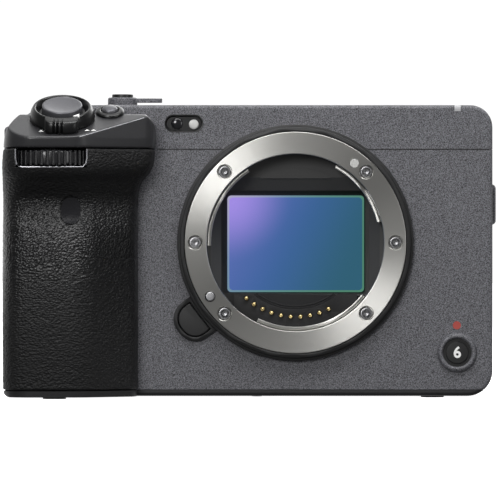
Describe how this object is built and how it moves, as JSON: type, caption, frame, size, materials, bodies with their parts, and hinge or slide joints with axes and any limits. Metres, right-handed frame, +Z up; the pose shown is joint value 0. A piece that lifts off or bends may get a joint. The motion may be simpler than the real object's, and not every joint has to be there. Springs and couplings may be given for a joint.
{
  "type": "cinema camera",
  "caption": "Compact cinema camera body with side grip, lens mount, stabilised sensor, swing-out monitor, dials, buttons, doors and battery.",
  "frame": {"origin": "centre of the lens mount's front face, on the optical axis", "axes": "-Y out of the lens mount, +Y into the camera, +X away from the grip, +Z up"},
  "size_m": [0.1295, 0.0789, 0.0791],
  "materials": {
    "body_paint": "fine speckled satin paint",
    "base_paint": "satin black paint",
    "grip_plastic": "matt",
    "grip_rubber": "leather grain",
    "cap_plastic": "fine speckled satin paint",
    "mount_steel": "turned",
    "collar_black": "matt",
    "screw_steel": "bright",
    "contact_black": "matt",
    "contact_gold": "polished",
    "chamber_black": "matt",
    "frame_metal": "cast",
    "shutter_black": "matt",
    "sensor_metal": "satin",
    "sensor_glass": "polished",
    "board_green": "solder mask",
    "socket_metal": "satin",
    "bush_steel": "turned",
    "lug_paint": "satin paint",
    "window_dark": "polished",
    "lamp_clear": "translucent",
    "button_black": "satin",
    "button_grey": "satin",
    "dial_black": "knurled",
    "monitor_plastic": "satin",
    "screen_glass": "polished",
    "battery_plastic": "matt",
    "door_black": "matt",
    "fan_black": "matt"
  },
  "bodies": {
    "root": {"front_cover": "body_paint", "top_cover": "body_paint", "rear_cover": "body_paint", "base_plate": "base_paint", "grip_core": "grip_plastic", "grip_rubber": "grip_rubber", "grip_cap": "cap_plastic", "mount_ring": "mount_steel", "mount_collar": "collar_black", "mount_screws": "screw_steel", "contact_block": "contact_black", "contact_pins": "contact_gold", "light_baffle": "chamber_black", "inner_frame": "frame_metal", "shutter_frame": "shutter_black", "stabiliser_base": "sensor_metal", "heat_sink": "frame_metal", "fan_housing": "fan_black", "main_board": "board_green", "card_reader": "socket_metal", "thread_bushes": "bush_steel", "accessory_shoe": "bush_steel", "strap_lugs": "lug_paint", "infrared_windows": "window_dark", "lamp_lenses": "lamp_clear", "jack_sockets": "socket_metal", "vent_grille": "collar_black"},
    "shutter_button": {"shutter_button": "button_grey"},
    "zoom_lever": {"zoom_lever": "dial_black"},
    "grip_button": {"grip_button": "button_black"},
    "front_dial": {"front_dial": "dial_black"},
    "rear_dial": {"rear_dial": "dial_black"},
    "power_lever": {"power_lever": "button_black"},
    "iso_button": {"iso_button": "button_grey"},
    "iris_button": {"iris_button": "button_grey"},
    "lens_release_button": {"lens_release_button": "button_black"},
    "lock_pin": {"lock_pin": "screw_steel"},
    "front_record_button": {"front_record_button": "button_black"},
    "monitor": {"monitor_arm": "monitor_plastic", "monitor_frame": "monitor_plastic", "monitor_screen": "screen_glass"},
    "menu_button": {"menu_button": "button_black"},
    "playback_button": {"playback_button": "button_black"},
    "delete_button": {"delete_button": "button_black"},
    "joystick_gimbal": {"joystick_gimbal": "button_black"},
    "joystick_cap": {"joystick_cap": "button_black"},
    "control_wheel": {"control_wheel": "dial_black"},
    "centre_button": {"centre_button": "button_black"},
    "battery_door": {"battery_door": "door_black"},
    "battery_latch": {"battery_latch": "button_grey"},
    "battery": {"battery": "battery_plastic"},
    "card_door": {"card_door": "body_paint"},
    "audio_cover": {"audio_cover": "door_black"},
    "data_cover": {"data_cover": "door_black"},
    "fan_rotor": {"fan_rotor": "fan_black"},
    "shutter_leaf_upper": {"shutter_leaf_upper": "shutter_black"},
    "shutter_leaf_lower": {"shutter_leaf_lower": "shutter_black"},
    "stabiliser_slide": {"stabiliser_slide": "sensor_metal"},
    "sensor_carriage": {"sensor_carriage": "sensor_metal", "sensor_glass": "sensor_glass"}
  },
  "joints": [
    {"name": "shutter_button_press", "type": "slide", "parent": "root", "child": "shutter_button", "axis": [0, 0.4384, -0.8988], "range_m": [0, 0.0008], "stiffness_N_per_m": 500},
    {"name": "zoom_lever_turn", "type": "hinge", "parent": "root", "child": "zoom_lever", "pos_m": [-0.0602, -0.0101, 0.032], "axis": [0, -0.4384, 0.8988], "range_deg": [-22, 22], "stiffness_Nm_per_rad": 0.02},
    {"name": "grip_button_press", "type": "slide", "parent": "root", "child": "grip_button", "axis": [0, 0.4384, -0.8988], "range_m": [0, 0.0005], "stiffness_N_per_m": 500},
    {"name": "front_dial_turn", "type": "hinge", "parent": "root", "child": "front_dial", "pos_m": [-0.063, -0.0102, 0.0218], "axis": [0, 0, 1], "continuous": true},
    {"name": "rear_dial_turn", "type": "hinge", "parent": "root", "child": "rear_dial", "pos_m": [-0.062, 0.042, 0.028], "axis": [0, 0, 1], "continuous": true},
    {"name": "power_lever_turn", "type": "hinge", "parent": "root", "child": "power_lever", "pos_m": [-0.0452, 0.019, 0.0358], "axis": [0, 0, -1], "range_deg": [0, 40]},
    {"name": "iso_button_press", "type": "slide", "parent": "root", "child": "iso_button", "axis": [0, 0, -1], "range_m": [0, 0.0004], "stiffness_N_per_m": 500},
    {"name": "iris_button_press", "type": "slide", "parent": "root", "child": "iris_button", "axis": [0, 0, -1], "range_m": [0, 0.0004], "stiffness_N_per_m": 500},
    {"name": "lens_release_press", "type": "slide", "parent": "root", "child": "lens_release_button", "axis": [0, 1, 0], "range_m": [0, 0.0012], "stiffness_N_per_m": 500},
    {"name": "lock_pin_slide", "type": "slide", "parent": "root", "child": "lock_pin", "axis": [0, 1, 0], "range_m": [0, 0.0012]},
    {"name": "front_record_press", "type": "slide", "parent": "root", "child": "front_record_button", "axis": [0, 1, 0], "range_m": [0, 0.0004], "stiffness_N_per_m": 500},
    {"name": "monitor_swing", "type": "hinge", "parent": "root", "child": "monitor", "pos_m": [0.047, 0.0524, -0.0045], "axis": [0, 0, -1], "range_deg": [0, 176]},
    {"name": "menu_button_press", "type": "slide", "parent": "root", "child": "menu_button", "axis": [0, -1, 0], "range_m": [0, 0.0004], "stiffness_N_per_m": 500},
    {"name": "playback_button_press", "type": "slide", "parent": "root", "child": "playback_button", "axis": [0, -1, 0], "range_m": [0, 0.0004], "stiffness_N_per_m": 500},
    {"name": "delete_button_press", "type": "slide", "parent": "root", "child": "delete_button", "axis": [0, -1, 0], "range_m": [0, 0.0004], "stiffness_N_per_m": 500},
    {"name": "joystick_up_down", "type": "hinge", "parent": "root", "child": "joystick_gimbal", "pos_m": [-0.05, 0.0452, 0.015], "axis": [1, 0, 0], "range_deg": [-8, 8], "stiffness_Nm_per_rad": 0.01},
    {"name": "joystick_left_right", "type": "hinge", "parent": "joystick_gimbal", "child": "joystick_cap", "pos_m": [-0.05, 0.0452, 0.015], "axis": [0, 0, 1], "range_deg": [-8, 8], "stiffness_Nm_per_rad": 0.01},
    {"name": "control_wheel_turn", "type": "hinge", "parent": "root", "child": "control_wheel", "pos_m": [-0.05, 0.049, -0.008], "axis": [0, 1, 0], "continuous": true},
    {"name": "centre_button_press", "type": "slide", "parent": "root", "child": "centre_button", "axis": [0, -1, 0], "range_m": [0, 0.0004], "stiffness_N_per_m": 500},
    {"name": "battery_door_swing", "type": "hinge", "parent": "root", "child": "battery_door", "pos_m": [-0.046, 0.0135, -0.0391], "axis": [0, -1, 0], "range_deg": [0, 95]},
    {"name": "battery_latch_slide", "type": "slide", "parent": "battery_door", "child": "battery_latch", "axis": [1, 0, 0], "range_m": [0, 0.0025]},
    {"name": "battery_slide", "type": "slide", "parent": "root", "child": "battery", "axis": [0, 0, -1], "range_m": [0, 0.0045]},
    {"name": "card_door_swing", "type": "hinge", "parent": "root", "child": "card_door", "pos_m": [-0.07355, 0.0302, -0.0075], "axis": [0, 0, 1], "range_deg": [0, 95]},
    {"name": "audio_cover_swing", "type": "hinge", "parent": "root", "child": "audio_cover", "pos_m": [0.05045, 0.022, 0.0135], "axis": [0, 0, 1], "range_deg": [0, 95]},
    {"name": "data_cover_swing", "type": "hinge", "parent": "root", "child": "data_cover", "pos_m": [0.05045, 0.022, -0.014], "axis": [0, 0, 1], "range_deg": [0, 95]},
    {"name": "fan_spin", "type": "hinge", "parent": "root", "child": "fan_rotor", "pos_m": [0.018, 0.033, -0.002], "axis": [0, 1, 0], "continuous": true},
    {"name": "shutter_upper_rise", "type": "slide", "parent": "root", "child": "shutter_leaf_upper", "axis": [0, 0, 1], "range_m": [0, 0.02845]},
    {"name": "shutter_lower_rise", "type": "slide", "parent": "root", "child": "shutter_leaf_lower", "axis": [0, 0, 1], "range_m": [0, 0.01423]},
    {"name": "stabiliser_shift", "type": "slide", "parent": "root", "child": "stabiliser_slide", "axis": [1, 0, 0], "range_m": [-0.001, 0.001], "stiffness_N_per_m": 600},
    {"name": "sensor_shift", "type": "slide", "parent": "stabiliser_slide", "child": "sensor_carriage", "axis": [0, 0, 1], "range_m": [-0.001, 0.001], "stiffness_N_per_m": 600}
  ],
  "couplings": [
    {"joint": "lock_pin_slide", "follows": "lens_release_press", "ratio": 1},
    {"joint": "battery_slide", "follows": "battery_door_swing", "m_per_rad": 0.0024},
    {"joint": "shutter_lower_rise", "follows": "shutter_upper_rise", "ratio": 0.5}
  ]
}
